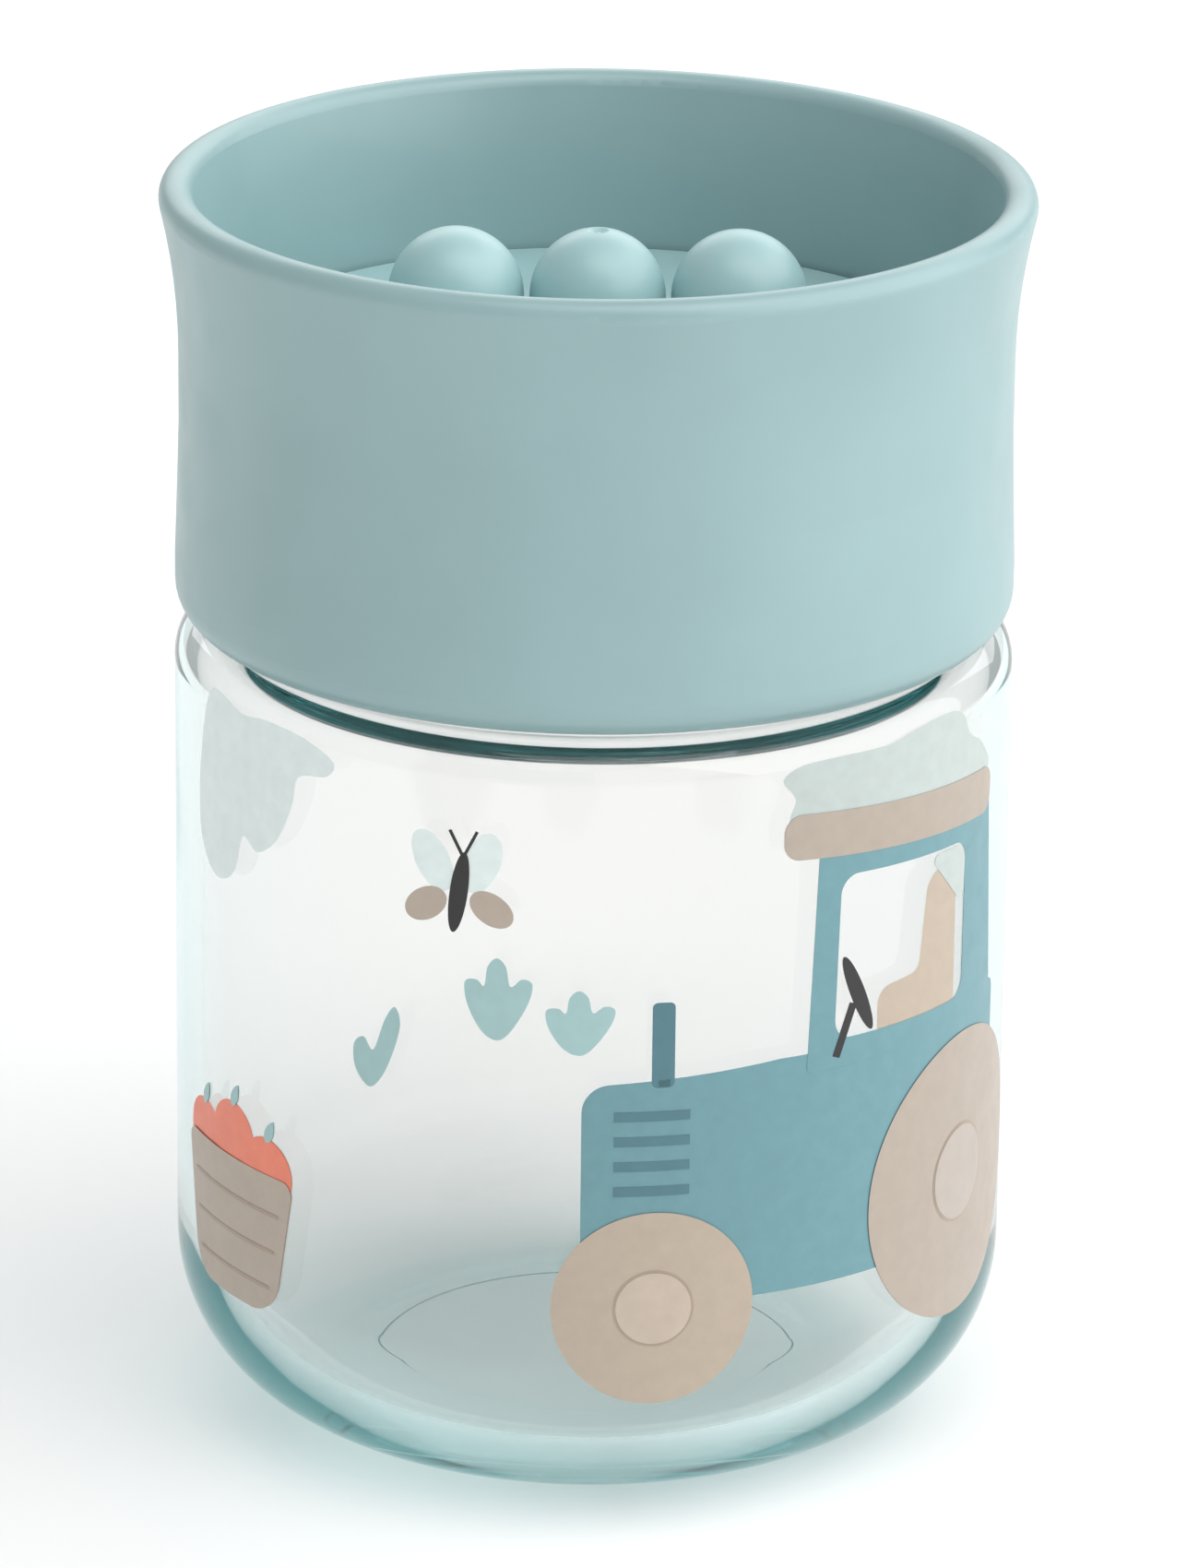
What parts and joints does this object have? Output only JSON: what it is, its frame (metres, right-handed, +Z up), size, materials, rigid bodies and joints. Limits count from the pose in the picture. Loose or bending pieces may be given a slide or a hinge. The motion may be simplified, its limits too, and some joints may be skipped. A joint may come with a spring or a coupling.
{
  "type": "training cup",
  "caption": "Child's spoutless training cup: a clear round jar, a screwed-on collar with a flared round drinking rim, and a soft valve disc with ball grips.",
  "frame": {"origin": "centre of the base, on the surface that the cup stands on", "axes": "+Z up along the cup's axis; +X along the row of grip balls; the front is at -Y"},
  "size_m": [0.0764, 0.0764, 0.1126],
  "materials": {
    "clear_plastic": "clear, faintly teal, with a printed scene on its wall",
    "blue_plastic": "satin",
    "milky_plastic": "satin",
    "blue_silicone": "soft satin",
    "white_silicone": "soft satin"
  },
  "bodies": {
    "jar": {"jar": "clear_plastic"},
    "insert": {"valve_plate": "milky_plastic", "neck_seal": "white_silicone"},
    "lid": {"collar": "blue_plastic"},
    "valve": {"valve_disc": "blue_silicone"}
  },
  "joints": [
    {"name": "lid_lift", "type": "slide", "parent": "jar", "child": "insert", "axis": [0, 0, 1], "range_m": [0, 0.0202]},
    {"name": "lid_turn", "type": "hinge", "parent": "insert", "child": "lid", "pos_m": [0, 0, 0.08], "axis": [0, 0, 1], "range_deg": [0, 450]},
    {"name": "valve_pull", "type": "slide", "parent": "insert", "child": "valve", "axis": [0, 0, 1], "range_m": [0, 0.03]}
  ],
  "couplings": [
    {"joint": "lid_lift", "follows": "lid_turn", "m_per_rad": 0.0025465}
  ]
}
